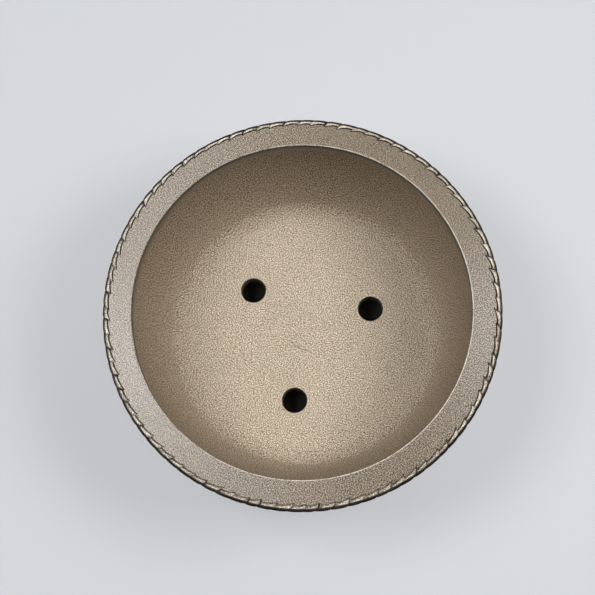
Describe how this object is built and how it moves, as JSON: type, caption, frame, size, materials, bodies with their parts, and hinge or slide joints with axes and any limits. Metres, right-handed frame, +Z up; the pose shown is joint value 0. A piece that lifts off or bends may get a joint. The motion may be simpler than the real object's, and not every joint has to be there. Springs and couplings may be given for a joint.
{
  "type": "round bonsai pot",
  "caption": "Round unglazed stoneware bonsai pot: a bowed, tapering wall on low feet, a sloping lip with a notched rope edge, and open drain holes in a flat floor.",
  "frame": {"origin": "on the pot's axis, in the plane of the undersides of the feet", "axes": "+Z up along the pot's axis and out of its mouth; one drain hole lies towards -Y and one foot towards +Y"},
  "size_m": [0.21, 0.21, 0.088],
  "materials": {
    "inside_clay": "unglazed sandy stoneware, matt",
    "lip_clay": "unglazed stoneware, darker from the kiln, smoothed to a soft sheen",
    "rope_clay": "unglazed stoneware, notched by hand",
    "foot_clay": "unglazed stoneware, matt"
  },
  "bodies": {
    "root": {"floor_slab": "inside_clay", "seam_coil": "inside_clay", "wall": "inside_clay", "lip": "lip_clay", "rope_edge": "rope_clay", "foot_back": "foot_clay", "foot_left": "foot_clay", "foot_right": "foot_clay"}
  },
  "joints": []
}
